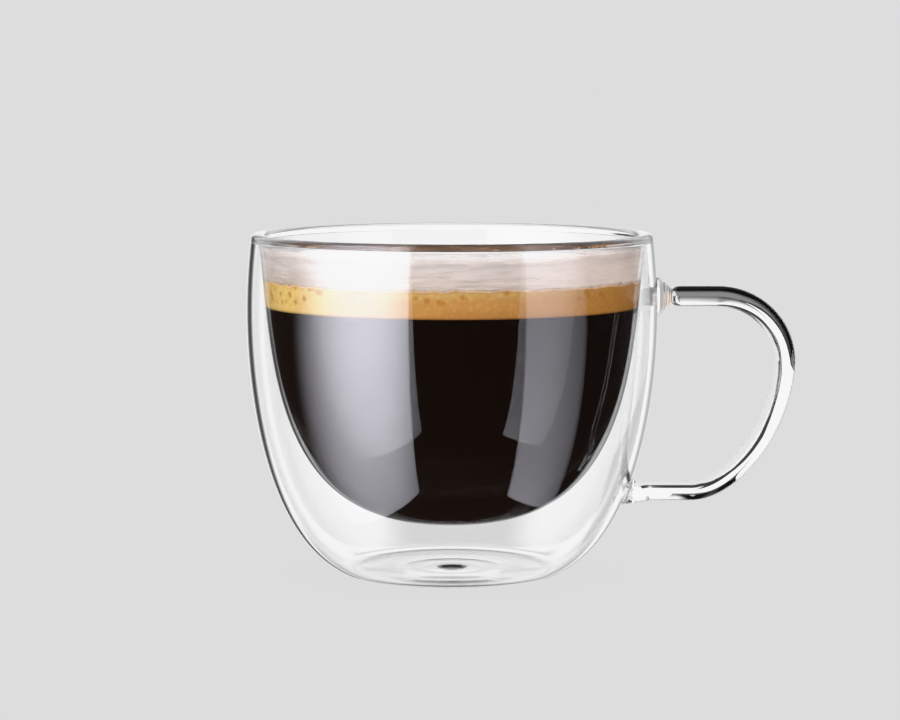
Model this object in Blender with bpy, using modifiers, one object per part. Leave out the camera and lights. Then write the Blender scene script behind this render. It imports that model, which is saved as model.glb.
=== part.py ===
"""A clear double-walled glass mug with a rod handle, filled with black coffee under a thick crema.

The mug is blown in two shells that meet in a rounded lip. The gap between them is vented by a small
hole in the middle of the foot, and a bead of glass closes it. The coffee stands in the inner bowl,
and the crema lies on it with a bubbly edge. Metres, +Z up, the origin in the middle of the foot's
underside, the handle on +X.
"""
import math
import random

import bmesh
import bpy
from mathutils import Vector, noise

# Outer shell
BODY_RADIUS = 0.04768
BODY_WIDEST_Z = 0.06034
BODY_SIDE_POWER = 1.932
BODY_FLOOR_POWER = 3.646
FOOT_CORNER_RADIUS = 0.0247
FOOT_FILLET = 0.006
BODY_WALL = 0.00125
FOOT_WALL = 0.0018
FOOT_WALL_FADE_Z = 0.014

# Lip that joins the two shells
LIP_JOIN_Z = 0.0781
LIP_TOP_Z = 0.0793
LIP_OUTER_RADIUS = 0.04655
LIP_POWER = 2.2
GAP_TOP_Z = 0.0767

# Inner bowl, measured on the side that faces the gap
BOWL_MOUTH_RADIUS = 0.04465
BOWL_MOUTH_Z = 0.0780
BOWL_TAPER = 0.082
BOWL_SHOULDER_Z = 0.0768
BOWL_BOTTOM_Z = 0.0119
BOWL_SIDE_POWER = 3.6
BOWL_FLOOR_POWER = 2.72
BOWL_WALL = 0.0013

# Handle: one solid rod, drawn out at both ends where it is fused to the outer shell
HANDLE_TOP_Z = 0.0645
HANDLE_APEX_X = 0.07745
HANDLE_APEX_Z = 0.0493
HANDLE_BOTTOM_Z = 0.0190
HANDLE_TOP_BEND_X = 0.0617
HANDLE_LOW_BEND_X = 0.0562
HANDLE_LOW_POWER = 1.74
ROD_RADIUS_TOP = 0.00240
ROD_RADIUS_APEX = 0.00250
ROD_RADIUS_LOW = 0.00234
TOP_FLARE_RADIUS = 0.0046
TOP_FLARE_FADE = 0.0017
LOW_FLARE_RADIUS = 0.0035
LOW_FLARE_FADE = 0.0014
FLARE_POWER = 1.3
ROOT_DEPTH = 0.0006
LOW_BEND_LENGTH = 0.0045
TOP_BEND_POINTS = 9
LOW_BEND_POINTS = 13
ROD_BEVEL = 4

# Vent and the bead that seals it
VENT_RADIUS = 0.0024
BEAD_RADIUS = 0.0021
BEAD_EDGE = 0.0003
BEAD_HEAD_RADIUS = 0.0030
BEAD_HEAD_HEIGHT = 0.0014

# Drink
CLEARANCE = 0.0003
COFFEE_TOP_Z = 0.0624
CREMA_TOP_Z = 0.0688
CREMA_EDGE_RISE = 0.0005
CREMA_EDGE_WIDTH = 0.0022
CREMA_WAVE_HEIGHT = 0.00035
CREMA_WAVE_SIZE = 0.009
CREMA_RINGS = 8
RIM_BUBBLES = 20
TOP_BUBBLES = 7
BUBBLE_RADIUS_MIN = 0.0009
BUBBLE_RADIUS_MAX = 0.0016
BUBBLE_SUNK = 0.45
BUBBLE_SEED = 11

# Fineness
TURN_STEPS = 60
BEAD_STEPS = 20
BODY_POINTS = 14
BOWL_POINTS = 13
LIP_POINTS = 6
FILLET_POINTS = 3
TURN_WORTH = 0.04  # length that counts as much as one radian of turning
MERGE = 0.00001


def clear_scene():
    for old in list(bpy.data.objects):
        bpy.data.objects.remove(old, do_unlink=True)


def new_collection(name):
    collection = bpy.data.collections.new(name)
    bpy.context.scene.collection.children.link(collection)
    return collection


def material(name, colour, roughness, transmission=0.0, ior=1.45):
    made = bpy.data.materials.new(name)
    made.use_nodes = True
    shader = made.node_tree.nodes["Principled BSDF"]
    shader.inputs["Base Color"].default_value = (*colour, 1.0)
    shader.inputs["Roughness"].default_value = roughness
    shader.inputs["Metallic"].default_value = 0.0
    shader.inputs["Transmission Weight"].default_value = transmission
    shader.inputs["IOR"].default_value = ior
    return made


def evenly_along(curve, count):
    """Points along curve(t), t from 0 to 1, spaced by length and by how much the curve turns."""
    samples = 600
    dense = [Vector(curve(i / samples)) for i in range(samples + 1)]
    measure = [0.0]
    for i in range(samples):
        step = dense[i + 1] - dense[i]
        before = dense[i] - dense[max(i - 1, 0)]
        turn = before.angle(step, 0.0)
        measure.append(measure[-1] + step.length + turn * TURN_WORTH)
    points = []
    k = 0
    for i in range(count):
        target = measure[-1] * i / (count - 1)
        while k < samples - 1 and measure[k + 1] < target:
            k += 1
        share = min(1.0, (target - measure[k]) / (measure[k + 1] - measure[k]))
        points.append(dense[k].lerp(dense[k + 1], share))
    return points


def offset(points, distance_at):
    """The outline moved to its left-hand side, by a distance that may change with height."""
    moved = []
    last = len(points) - 1
    for i, point in enumerate(points):
        along = points[min(i + 1, last)] - points[max(i - 1, 0)]
        left = Vector((-along.y, along.x)).normalized()
        if point.x < MERGE:
            left = Vector((0.0, math.copysign(1.0, left.y)))
        moved.append(point + left * distance_at(point.y))
    return moved


def body_depth():
    """Height from the widest ring down to where the flank's curve would close."""
    open_share = (FOOT_CORNER_RADIUS / BODY_RADIUS) ** BODY_FLOOR_POWER
    return BODY_WIDEST_Z / (1.0 - open_share) ** (1.0 / BODY_SIDE_POWER)


def body_radius(z):
    if z >= BODY_WIDEST_Z:
        rise = (z - BODY_WIDEST_Z) / (LIP_JOIN_Z - BODY_WIDEST_Z)
        return BODY_RADIUS - (BODY_RADIUS - LIP_OUTER_RADIUS) * rise ** 2
    drop = (BODY_WIDEST_Z - z) / body_depth()
    return BODY_RADIUS * (1.0 - drop ** BODY_SIDE_POWER) ** (1.0 / BODY_FLOOR_POWER)


def body_slope(z):
    """Change of radius for each metre of height."""
    step = 0.0002
    return (body_radius(z + step) - body_radius(z - step)) / (2.0 * step)


def body_outline():
    """Outer shell from the lip down to the edge of the flat foot."""
    lean = math.atan2(1.0, body_slope(0.0003))
    reach = FOOT_FILLET * math.tan(lean / 2.0)
    fillet_top_z = reach * math.sin(lean)

    def flank(t):
        z = LIP_JOIN_Z + (fillet_top_z - LIP_JOIN_Z) * t
        return (body_radius(z), z)

    points = evenly_along(flank, BODY_POINTS)
    foot_edge = points[-1].x - FOOT_FILLET * math.sin(lean)
    for i in range(1, FILLET_POINTS + 1):
        angle = lean * (1.0 - i / FILLET_POINTS)
        points.append(Vector((foot_edge + FOOT_FILLET * math.sin(angle),
                              FOOT_FILLET * (1.0 - math.cos(angle)))))
    return points


def bowl_outline():
    """The bowl's gap side, from its mouth down to the middle of its floor."""
    def side(t):
        angle = t * math.pi / 2.0
        drop = math.sin(angle) ** (2.0 / BOWL_SIDE_POWER)
        z = BOWL_SHOULDER_Z - (BOWL_SHOULDER_Z - BOWL_BOTTOM_Z) * drop
        mouth = BOWL_MOUTH_RADIUS - BOWL_TAPER * (BOWL_MOUTH_Z - z)
        return (mouth * max(0.0, math.cos(angle)) ** (2.0 / BOWL_FLOOR_POWER), z)

    points = evenly_along(side, BOWL_POINTS)
    points[-1].x = 0.0
    return points


def inside_bowl(distance):
    """The bowl's outline moved towards the drink, from its mouth down to the axis."""
    return [Vector((max(0.0, p.x), p.y)) for p in offset(bowl_outline(), lambda z: -distance)]


def lip_outline(inner_radius):
    """The rounded lip from the drink's side over to the outer side."""
    middle = (LIP_OUTER_RADIUS + inner_radius) / 2.0
    half = (LIP_OUTER_RADIUS - inner_radius) / 2.0
    points = []
    for i in range(LIP_POINTS + 1):
        angle = math.pi * (1.0 - i / LIP_POINTS)
        across = math.copysign(abs(math.cos(angle)) ** (2.0 / LIP_POWER), math.cos(angle))
        up = math.sin(angle) ** (2.0 / LIP_POWER)
        points.append(Vector((middle + half * across, LIP_JOIN_Z + (LIP_TOP_Z - LIP_JOIN_Z) * up)))
    return points


def shell_wall(z):
    fade = max(0.0, 1.0 - z / FOOT_WALL_FADE_Z)
    return BODY_WALL + (FOOT_WALL - BODY_WALL) * fade ** 2


def glass_outline():
    """The whole wall of the mug, from the bowl's floor up, over the lip and back below the floor."""
    drink_side = inside_bowl(BOWL_WALL)
    drink_side.reverse()
    lip_inner = BOWL_MOUTH_RADIUS - BOWL_TAPER * (BOWL_MOUTH_Z - LIP_JOIN_Z) - BOWL_WALL
    body = body_outline()
    gap_side = [p for p in offset(body, lambda z: -shell_wall(z)) if p.y < GAP_TOP_Z - 0.001]
    gap_side.reverse()
    bowl = bowl_outline()
    gap_outer = body_radius(GAP_TOP_Z) - BODY_WALL
    gap_inner = bowl[0].x
    gap_middle = (gap_outer + gap_inner) / 2.0
    gap_half = (gap_outer - gap_inner) / 2.0
    crotch = [Vector((gap_outer, GAP_TOP_Z - gap_half)),
              Vector((gap_middle, GAP_TOP_Z)),
              Vector((gap_inner, GAP_TOP_Z - gap_half))]
    outline = drink_side + lip_outline(lip_inner) + body[1:]
    outline += [Vector((VENT_RADIUS, 0.0)), Vector((VENT_RADIUS, FOOT_WALL))]
    return outline + gap_side + crotch + bowl[1:]


def turned(name, outline, steps, collection, finish):
    """A closed shape turned about Z from an outline whose outer side runs top to bottom."""
    mesh = bpy.data.meshes.new(name)
    shape = bmesh.new()
    previous = None
    for point in outline:
        vertex = shape.verts.new((point.x, 0.0, point.y))
        if previous is not None:
            shape.edges.new((previous, vertex))
        previous = vertex
    shape.to_mesh(mesh)
    shape.free()
    mesh.materials.append(finish)
    made = bpy.data.objects.new(name, mesh)
    collection.objects.link(made)
    screw = made.modifiers.new("turn", "SCREW")
    screw.axis = "Z"
    screw.angle = math.tau
    screw.steps = steps
    screw.render_steps = steps
    screw.use_merge_vertices = True
    screw.merge_threshold = MERGE
    screw.use_smooth_shade = True
    return made


def applied(shape, name, collection):
    """The object as a plain mesh, its loose caps welded, in place of the object itself."""
    evaluated = shape.evaluated_get(bpy.context.evaluated_depsgraph_get())
    mesh = bpy.data.meshes.new_from_object(evaluated)
    work = bmesh.new()
    work.from_mesh(mesh)
    bmesh.ops.remove_doubles(work, verts=work.verts, dist=MERGE)
    work.to_mesh(mesh)
    work.free()
    mesh.name = name
    made = bpy.data.objects.new(name, mesh)
    made.matrix_world = shape.matrix_world
    collection.objects.link(made)
    bpy.data.objects.remove(shape, do_unlink=True)
    return made


def flare(distance, end_radius, fade, rod_radius):
    """Radius of the rod at a distance from the wall it is fused to."""
    spread = math.exp(-(max(0.0, distance) / fade) ** FLARE_POWER)
    return rod_radius + (end_radius - rod_radius) * spread


def handle_route():
    """The rod's middle line with its radius, from the upper root to the lower one."""
    steps_out = (-ROOT_DEPTH, 0.0005, 0.0011, 0.0018, 0.0027, 0.0040)
    route = []
    wall_x = body_radius(HANDLE_TOP_Z)
    for d in steps_out:
        route.append((wall_x + d, HANDLE_TOP_Z,
                      flare(d, TOP_FLARE_RADIUS, TOP_FLARE_FADE, ROD_RADIUS_TOP)))
    for i in range(TOP_BEND_POINTS):
        angle = math.pi / 2.0 * i / (TOP_BEND_POINTS - 1)
        route.append((HANDLE_TOP_BEND_X + (HANDLE_APEX_X - HANDLE_TOP_BEND_X) * math.sin(angle),
                      HANDLE_APEX_Z + (HANDLE_TOP_Z - HANDLE_APEX_Z) * math.cos(angle),
                      ROD_RADIUS_TOP + (ROD_RADIUS_APEX - ROD_RADIUS_TOP) * math.sin(angle)))

    def low_bend(t):
        angle = math.pi / 2.0 * t
        across = math.cos(angle) ** (2.0 / HANDLE_LOW_POWER) if t < 1.0 else 0.0
        down = math.sin(angle) ** (2.0 / HANDLE_LOW_POWER)
        return (HANDLE_LOW_BEND_X + (HANDLE_APEX_X - HANDLE_LOW_BEND_X) * across,
                HANDLE_APEX_Z - (HANDLE_APEX_Z - HANDLE_BOTTOM_Z) * down)

    bend = evenly_along(low_bend, LOW_BEND_POINTS)
    for i, point in enumerate(bend[1:], start=1):
        share = i / (LOW_BEND_POINTS - 1)
        route.append((point.x, point.y,
                      ROD_RADIUS_APEX + (ROD_RADIUS_LOW - ROD_RADIUS_APEX) * share))

    # The lower end turns a little, to meet the leaning wall squarely.
    foot = Vector((body_radius(HANDLE_BOTTOM_Z), HANDLE_BOTTOM_Z))
    outward = Vector((1.0, -body_slope(HANDLE_BOTTOM_Z))).normalized()
    straight = Vector((foot.x + LOW_BEND_LENGTH, HANDLE_BOTTOM_Z))
    near = foot + outward * steps_out[2]
    for t in (0.0, 0.4, 0.75):
        point = straight.lerp(near, t)
        d = (point - foot).length
        route.append((point.x, point.y, flare(d, LOW_FLARE_RADIUS, LOW_FLARE_FADE, ROD_RADIUS_LOW)))
    for d in reversed(steps_out[:3]):
        point = foot + outward * d
        route.append((point.x, point.y, flare(d, LOW_FLARE_RADIUS, LOW_FLARE_FADE, ROD_RADIUS_LOW)))
    return route


def make_handle(collection):
    curve = bpy.data.curves.new("handle", "CURVE")
    curve.dimensions = "3D"
    curve.bevel_depth = 1.0
    curve.bevel_resolution = ROD_BEVEL
    curve.use_fill_caps = True
    route = handle_route()
    spline = curve.splines.new("POLY")
    spline.points.add(len(route) - 1)
    for point, (x, z, radius) in zip(spline.points, route):
        point.co = (x, 0.0, z, 1.0)
        point.radius = radius
    rod = bpy.data.objects.new("handle_curve", curve)
    collection.objects.link(rod)
    bpy.context.view_layer.update()
    handle = applied(rod, "handle_rod", collection)
    handle.hide_render = True
    handle.display_type = "WIRE"
    return handle


def make_glass(parts, cutters, finish):
    glass = turned("glass", glass_outline(), TURN_STEPS, parts, finish)
    union = glass.modifiers.new("handle", "BOOLEAN")
    union.operation = "UNION"
    union.solver = "EXACT"
    union.object = make_handle(cutters)
    return glass


def make_bead(parts, finish):
    neck_top = FOOT_WALL + CLEARANCE
    outline = []
    for i in range(5):
        angle = math.pi / 2.0 * i / 4
        outline.append(Vector((BEAD_HEAD_RADIUS * math.sin(angle),
                               neck_top + BEAD_HEAD_HEIGHT * math.cos(angle))))
    outline.append(Vector((BEAD_RADIUS, neck_top)))
    outline.append(Vector((BEAD_RADIUS, BEAD_EDGE)))
    outline.append(Vector((BEAD_RADIUS - BEAD_EDGE, 0.0)))
    outline.append(Vector((0.0, 0.0)))
    outline[0].x = 0.0
    return turned("seal_bead", outline, BEAD_STEPS, parts, finish)


def cut_at(points, z):
    """The point where an outline that runs downwards crosses the height z."""
    for a, b in zip(points, points[1:]):
        if a.y >= z > b.y:
            return a.lerp(b, (a.y - z) / (a.y - b.y))
    raise ValueError("the outline does not reach this height")


def make_coffee(parts, finish):
    side = inside_bowl(BOWL_WALL + CLEARANCE)
    top = COFFEE_TOP_Z - CLEARANCE / 2.0
    edge = cut_at(side, top)
    outline = [Vector((0.0, top)), edge] + [p for p in side if p.y < top - CLEARANCE]
    return turned("coffee", outline, TURN_STEPS, parts, finish)


def crema_relief(point):
    """How far the foam's top stands above its mean level at this place."""
    broad = noise.noise(point / CREMA_WAVE_SIZE)
    fine = noise.noise(point * 2.7 / CREMA_WAVE_SIZE + Vector((3.1, 5.7, 1.3)))
    return CREMA_WAVE_HEIGHT * (broad + 0.5 * fine)


def add_bubble(place, radius, number, collection):
    mesh = bpy.data.meshes.new(f"bubble_{number:02d}")
    ball = bmesh.new()
    bmesh.ops.create_icosphere(ball, subdivisions=1, radius=radius)
    bmesh.ops.translate(ball, verts=ball.verts, vec=place)
    ball.to_mesh(mesh)
    ball.free()
    bubble = bpy.data.objects.new(mesh.name, mesh)
    collection.objects.link(bubble)


def scatter_bubbles(edge_radius, collection):
    """Bubbles against the glass all round, and a few on the foam's face."""
    draw = random.Random(BUBBLE_SEED)
    for i in range(RIM_BUBBLES + TOP_BUBBLES):
        radius = draw.uniform(BUBBLE_RADIUS_MIN, BUBBLE_RADIUS_MAX)
        if i < RIM_BUBBLES:
            angle = math.tau * (i + draw.uniform(-0.3, 0.3)) / RIM_BUBBLES
            reach = edge_radius - radius - CLEARANCE / 2.0
            level = CREMA_TOP_Z + CREMA_EDGE_RISE
        else:
            angle = math.tau * (i - RIM_BUBBLES + draw.uniform(-0.3, 0.3)) / TOP_BUBBLES
            reach = edge_radius * draw.uniform(0.3, 0.8)
            level = CREMA_TOP_Z
        place = Vector((reach * math.cos(angle), reach * math.sin(angle), level - radius * BUBBLE_SUNK))
        add_bubble(place, radius, i, collection)


def make_crema(parts, cutters, finish):
    side = inside_bowl(BOWL_WALL + CLEARANCE)
    top = CREMA_TOP_Z + CREMA_EDGE_RISE
    bottom = COFFEE_TOP_Z + CLEARANCE / 2.0
    edge = cut_at(side, top)
    flat_radius = edge.x - CREMA_EDGE_WIDTH
    outline = []
    for i in range(CREMA_RINGS):
        outline.append(Vector((flat_radius * i / (CREMA_RINGS - 1), CREMA_TOP_Z)))
    for share in (0.35, 0.7):
        outline.append(Vector((flat_radius + CREMA_EDGE_WIDTH * share,
                               CREMA_TOP_Z + CREMA_EDGE_RISE * share ** 2)))
    outline.append(edge)
    outline += [p for p in side if bottom + CLEARANCE < p.y < top - CLEARANCE]
    outline.append(cut_at(side, bottom))
    outline.append(Vector((0.0, bottom)))
    blank = turned("crema_blank", outline, TURN_STEPS, cutters, finish)
    bpy.context.view_layer.update()
    crema = applied(blank, "crema", parts)
    for vertex in crema.data.vertices:
        if vertex.co.z > CREMA_TOP_Z - CLEARANCE:
            vertex.co.z += crema_relief(vertex.co.copy())
    bubbles = new_collection("crema_bubbles")
    scatter_bubbles(edge.x, bubbles)
    union = crema.modifiers.new("bubbles", "BOOLEAN")
    union.operation = "UNION"
    union.solver = "EXACT"
    union.operand_type = "COLLECTION"
    union.collection = bubbles
    bpy.context.view_layer.update()
    evaluated = crema.evaluated_get(bpy.context.evaluated_depsgraph_get())
    crema.data = bpy.data.meshes.new_from_object(evaluated)
    crema.data.name = "crema"
    crema.modifiers.clear()
    for bubble in list(bubbles.objects):
        bpy.data.objects.remove(bubble, do_unlink=True)
    bpy.data.collections.remove(bubbles)
    crema.data.shade_smooth()
    return crema


def main():
    clear_scene()
    parts = new_collection("coffee_mug")
    cutters = new_collection("cutters")
    clear_glass = material("borosilicate_glass", (0.96, 0.97, 0.97), 0.02, transmission=1.0, ior=1.47)
    black_coffee = material("black_coffee", (0.009, 0.004, 0.003), 0.08)
    crema_foam = material("crema_foam", (0.56, 0.30, 0.10), 0.45)
    make_glass(parts, cutters, clear_glass)
    make_bead(parts, clear_glass)
    make_coffee(parts, black_coffee)
    make_crema(parts, cutters, crema_foam)


main()
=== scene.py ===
import math
import random
from functools import partial, reduce

import bmesh
import bpy
from bpy.props import FloatProperty, FloatVectorProperty, PointerProperty
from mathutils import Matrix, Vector, noise


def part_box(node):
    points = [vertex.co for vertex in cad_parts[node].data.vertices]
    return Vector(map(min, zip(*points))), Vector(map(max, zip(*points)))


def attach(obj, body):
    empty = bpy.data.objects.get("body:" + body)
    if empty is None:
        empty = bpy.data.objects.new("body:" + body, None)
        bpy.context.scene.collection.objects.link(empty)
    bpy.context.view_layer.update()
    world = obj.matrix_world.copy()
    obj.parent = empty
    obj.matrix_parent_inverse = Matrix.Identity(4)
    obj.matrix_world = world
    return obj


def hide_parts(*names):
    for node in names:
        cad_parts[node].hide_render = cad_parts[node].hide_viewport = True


bl_info = {
    "name": "Glass Cup of Coffee",
    "version": (1, 0, 0),
    "blender": (4, 5, 0),
    "location": "3D View > Sidebar > Coffee",
    "description": "Blows a double-walled glass cup, fills it with black coffee and lays the crema on it",
    "category": "Object",
}

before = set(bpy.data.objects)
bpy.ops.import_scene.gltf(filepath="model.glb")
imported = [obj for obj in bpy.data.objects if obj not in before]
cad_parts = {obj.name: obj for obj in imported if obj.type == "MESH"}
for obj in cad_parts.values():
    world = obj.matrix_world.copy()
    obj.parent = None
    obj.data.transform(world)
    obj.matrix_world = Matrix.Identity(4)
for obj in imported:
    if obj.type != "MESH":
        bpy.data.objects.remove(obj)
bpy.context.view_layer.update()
ROOT = "root"

GLASS_LOW, GLASS_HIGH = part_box("glass")

MM = 0.001

# Outer shell: a superellipse flank over a flat foot
BODY_RADIUS = -GLASS_LOW.x
BODY_WIDEST_Z = 0.06034
BODY_SIDE_POWER = 1.932
BODY_FLOOR_POWER = 3.646
FOOT_CORNER_RADIUS = 0.0247
FOOT_FILLET = 0.006
FOOT_HOLLOW = 0.00012
FOOT_ROWS = 48
FOOT_ROW_SPREAD = 1.6
BODY_WALL = 0.00125
FOOT_WALL = 0.0010
FOOT_WALL_FADE_Z = 0.014

# Lip that joins the two shells
LIP_JOIN_Z = 0.0781
LIP_TOP_Z = GLASS_HIGH.z
LIP_OUTER_RADIUS = 0.04655
LIP_POWER = 2.2

# Inner bowl, measured on the side that faces the gap
BOWL_MOUTH_RADIUS = 0.04465
BOWL_MOUTH_Z = 0.0780
BOWL_TAPER = 0.082
BOWL_SHOULDER_Z = 0.0774
BOWL_BOTTOM_Z = 0.0119
BOWL_SIDE_POWER = 3.6
BOWL_FLOOR_POWER = 2.72
BOWL_WALL = 0.0013

# Handle rod
HANDLE_TOP_Z = 0.0645
HANDLE_APEX_X = 0.07745
HANDLE_APEX_Z = 0.0493
HANDLE_BOTTOM_Z = 0.0190
HANDLE_TOP_BEND_X = 0.0617
HANDLE_LOW_BEND_X = 0.0562
HANDLE_LOW_POWER = 1.74
HANDLE_LOW_STRAIGHT = 0.0045
HANDLE_LOW_TURN = 0.0022
ROD_RADIUS_TOP = 0.00240
ROD_RADIUS_APEX = 0.00250
ROD_RADIUS_LOW = 0.00234
ROOT_DEPTH = 0.0006
ROOT_ROW_SPREAD = 1.5

# Rings at the rod's upper root, each a distance from the wall and a radius, and the flare below
UPPER_ROOT = ((-0.0006, 0.00455), (0.0004, 0.00445), (0.0010, 0.00395), (0.0014, 0.00330),
              (0.0017, 0.00335), (0.0023, 0.00265), (0.0025, 0.00270), (0.0030, 0.00210),
              (0.0036, 0.00182), (0.0043, 0.00228), (0.0053, 0.00240), (1.0, 0.00240))
LOW_FLARE_RADIUS = 0.0035
LOW_FLARE_FADE = 0.0014
LOW_FLARE_POWER = 1.3

# Sealed gap. The seal is a shallow pit in the middle of the foot's upper side
GAP_TOP_Z = 0.0775
GAP_CROTCH_Z = 0.0765
GAP_FLOOR_ROWS = 60
GAP_CROTCH_STEPS = 12
SEAL_RADIUS = 0.0033
SEAL_DEPTH = 0.0007
SEAL_POWER = 4

# Ripples round the foot's upper side, each a radius, a width and a height
FOOT_RIPPLES = ((0.0238, 0.0012, 0.00006), (0.0130, 0.0026, 0.00004), (0.0075, 0.0016, 0.00002))

# Swell in the front of the foot's upper side
SWELL_RADIUS = 0.0172
SWELL_WIDTH = 0.0030
SWELL_HEIGHT = 0.00025
SWELL_POWER = 5
SWELL_TOP_Z = 0.0035

# Waves that fire-polishing leaves in the lip
LIP_WAVE_HEIGHT = 0.00005
LIP_WAVE_SIZE = 0.0024
LIP_WAVE_LOW_Z = 0.0765
LIP_WAVE_FADE = 0.002

# Drink
CLEARANCE = 0.0003
COFFEE_TOP_Z = 0.0626
CREMA_TOP_Z = 0.0688
CREMA_EDGE_RISE = 0.0005
CREMA_EDGE_WIDTH = 0.0022
CREMA_EDGE_ROWS = 8
CREMA_TOP_ROWS = 80
CREMA_WAVE_HEIGHT = 0.00035
CREMA_WAVE_SIZE = 0.009
CREMA_RIPPLE_SIZE = CREMA_WAVE_SIZE / 2.7
CREMA_RIPPLE_SHIFT = Vector((3.1, 5.7, 1.3))
CREMA_RIPPLE_SHARE = 0.5
INTO_WALL = 0.00006

# The foam's large bubbles, drawn in the same order as in the solids
RIM_BUBBLES = 20
TOP_BUBBLES = 7
BUBBLE_RADIUS_MIN = 0.0009
BUBBLE_RADIUS_MAX = 0.0016
BUBBLE_SUNK = 0.45
BUBBLE_STRAY = 0.3
TOP_BUBBLE_REACH = (0.3, 0.8)
BUBBLE_SEED = 11

# The foam's fine bubbles, thick along the wall and in patches elsewhere
FINE_BUBBLE_MIN = 0.00016
FINE_BUBBLE_MAX = 0.00050
FINE_BUBBLE_DENSITY = 420000.0
FINE_BUBBLE_SEED = 5
FINE_BUBBLE_PATCH = 8.0 * MM
FINE_BUBBLE_EDGE = (0.0330, 0.0410)
FINE_BUBBLE_END = (0.0416, 0.0419)
FOAM_SIDE_LEAN = 0.6

# Foam haze left on the wall above the crema
HAZE_LOW_Z = 0.0664
HAZE_TOP_Z = 0.0776
HAZE_ROWS = 16
HAZE_THICKNESS = 0.00008
HAZE_INTO_WALL = 0.00012

# Pattern sizes. Real pores and grain are finer, and are drawn this coarse so that they show
FOAM_PATCH = 9.0 * MM
FOAM_SWIRL = 14.0 * MM
FOAM_CELL = 2.1 * MM
FOAM_PORE = 1.1 * MM
FOAM_GRAIN = 0.7 * MM
HAZE_STREAK = 7.0 * MM
HAZE_STREAK_FLATNESS = 8.0
HAZE_LUMP = 2.2 * MM

# Fineness
TURN_STEPS = 192
LARGE_BUBBLE_STEPS = (24, 14)
FINE_BUBBLE_STEPS = (8, 5)
MERGE = 0.00001

# Short words for the nodes used most, each with Blender's kind and its settings
NODE_WORDS = {
    "Smooth": ("MapRange", {"interpolation_type": "SMOOTHSTEP"}),
    "Even": ("MapRange", {}),
    "Blend": ("Mix", {"data_type": "FLOAT"}),
    "Tint": ("Mix", {"data_type": "RGBA"}),
    "Shade": ("Mix", {"data_type": "RGBA", "blend_type": "MULTIPLY"}),
}


def linear(hex_colour):
    """An sRGB hex colour as linear red, green and blue."""
    parts = [int(hex_colour[i:i + 2], 16) / 255.0 for i in (1, 3, 5)]
    return tuple(c / 12.92 if c <= 0.04045 else ((c + 0.055) / 1.055) ** 2.4 for c in parts)


def fill(node, values):
    """Gives a node's inputs, by name or index, a value, a hex colour or another node's output."""
    for key, value in values.items():
        if isinstance(value, bpy.types.NodeSocket):
            node.id_data.links.new(value, node.inputs[key])
        elif isinstance(value, str) and value.startswith("#"):
            node.inputs[key].default_value = (*linear(value), 1.0)
        else:
            node.inputs[key].default_value = value


def add(tree, kind, *values, out=None, **settings):
    """Adds a node and gives back one of its outputs, the first in use unless out names another. A
    kind without Node in its name is a shader node, and one in capitals is an operation of the Math
    node. The values go to the inputs in use in their order, and one dict of values by their names."""
    kind, preset = NODE_WORDS.get(kind, (kind, {}))
    if kind.isupper():
        kind, preset = "Math", {"operation": kind}
    node = tree.nodes.new(kind if "Node" in kind else "ShaderNode" + kind)
    for name, value in {**preset, **settings}.items():
        setattr(node, name, value)
    in_use = [i for i, socket in enumerate(node.inputs) if socket.enabled]
    by_name = values and isinstance(values[0], dict)
    fill(node, values[0] if by_name else dict(zip(in_use, values)))
    return node.outputs[out] if out else next((s for s in node.outputs if s.enabled), None)


def place_of(put, axis):
    """Where a point of the piece is along an axis."""
    return put("SeparateXYZ", put("TexCoord", out="Object"), out=axis)


def product(put, *values):
    """All the values multiplied together."""
    return reduce(lambda a, b: put("MULTIPLY", a, b), values)


def hump(put, value, low, full, fading, high):
    """Rises from 0 to 1 between low and full, and falls again between fading and high."""
    return product(put, put("Smooth", value, low, full), put("Smooth", value, fading, high, 1.0, 0.0))


def length(put, a, b):
    """The length of a line that runs a one way and b across it."""
    return put("SQRT", put("MULTIPLY_ADD", a, a, put("MULTIPLY", b, b)))


def new_material(name):
    """A material, its shader, and a function that adds nodes to it."""
    made = bpy.data.materials.new(name)
    made.use_nodes = True
    return made, made.node_tree.nodes["Principled BSDF"], partial(add, made.node_tree)


def show(made, surface):
    fill(made.node_tree.nodes["Material Output"], {"Surface": surface})


def borosilicate_glass():
    """Borosilicate glass, blown and fire-polished: colourless, quite smooth, with bright and dark
    edges where the walls are seen along their length. Lamps shine through it on the drink. Where a
    ray has wandered far in it, the glass glows with a painted soft grey, darkest in the foot."""
    made, shader, put = new_material("blown_borosilicate_glass")
    fill(shader, {"Base Color": "#FFFFFF", "Roughness": 0.0, "IOR": 1.47, "Transmission Weight": 1.0})
    path = put("LightPath").node.outputs
    clear = put("BsdfTransparent", "#FFFFFF")
    glass = put("MixShader", path["Is Shadow Ray"], shader.outputs[0], clear)
    # Painted glow: a ray deeper than nine bounces ends in a grey emission, dimmest in the foot
    wandered = put("GREATER_THAN", path["Ray Depth"], 9.5)
    grey = put("Smooth", place_of(put, "Z"), 0.004, 0.010, 0.04, 0.45)
    painted_glow = put("Emission", {"Strength": grey})
    show(made, put("MixShader", wandered, glass, painted_glow))
    return made


def black_coffee(colour):
    """Brewed black coffee: near opaque in a cup this wide, dark brown, still and glossy."""
    made, shader, _ = new_material("brewed_black_coffee")
    fill(shader, {"Base Color": (*colour, 1.0), "Roughness": 0.03, "IOR": 1.10})
    return made


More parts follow.
